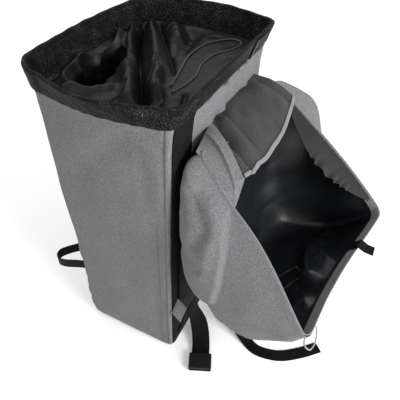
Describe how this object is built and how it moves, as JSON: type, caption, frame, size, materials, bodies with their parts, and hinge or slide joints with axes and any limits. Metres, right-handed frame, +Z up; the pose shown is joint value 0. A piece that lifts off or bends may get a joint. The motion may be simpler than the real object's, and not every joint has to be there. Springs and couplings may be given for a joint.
{
  "type": "haul bag with hooded lid",
  "caption": "Open-topped upright cloth load bag with a hooded lid thrown back over padded shoulder straps, a webbing-bound rim and a gathered inner collar.",
  "frame": {"origin": "middle of the flat floor of the bag, on the ground", "axes": "+Z up; -Y out of the harness face, where the lid hangs; +X to the right as seen facing the harness"},
  "size_m": [0.4142, 0.5933, 0.6019],
  "materials": {
    "grey_cloth": "heathered grey coated weave",
    "webbing": "black woven webbing with small glints",
    "nylon_liner": "thin black nylon, slight sheen",
    "black_cord": "braided black cord",
    "black_cloth": "heavy black pack cloth",
    "strap_mesh": "black spacer mesh with bound edge",
    "buckle_plastic": "moulded black plastic",
    "grey_cord": "thin pale grey cord",
    "label_cloth": "blank woven grey label"
  },
  "bodies": {
    "root": {"main_shell": "grey_cloth", "rim_binding": "webbing", "collar": "nylon_liner", "drawcord": "black_cord", "harness_strip_left": "black_cloth", "harness_strip_right": "black_cloth", "harness_back_panel": "black_cloth", "harness_yoke": "grey_cloth", "shoulder_strap_left": "strap_mesh", "shoulder_strap_right": "strap_mesh", "lower_strap_left": "webbing", "lower_strap_right": "webbing", "hip_belt_left": "webbing", "hip_belt_right": "webbing", "buckle_socket": "buckle_plastic", "buckle_plug": "buckle_plastic", "lid_hood": "grey_cloth", "lid_neck_panel": "grey_cloth", "lid_rim_hem": "grey_cloth", "lid_facing_left": "nylon_liner", "lid_facing_right": "nylon_liner", "lid_front_tab": "webbing", "lid_cord_loop": "grey_cord", "lid_strap": "webbing", "gear_loop_left": "webbing", "gear_loop_right": "webbing", "side_label": "label_cloth"}
  },
  "joints": []
}
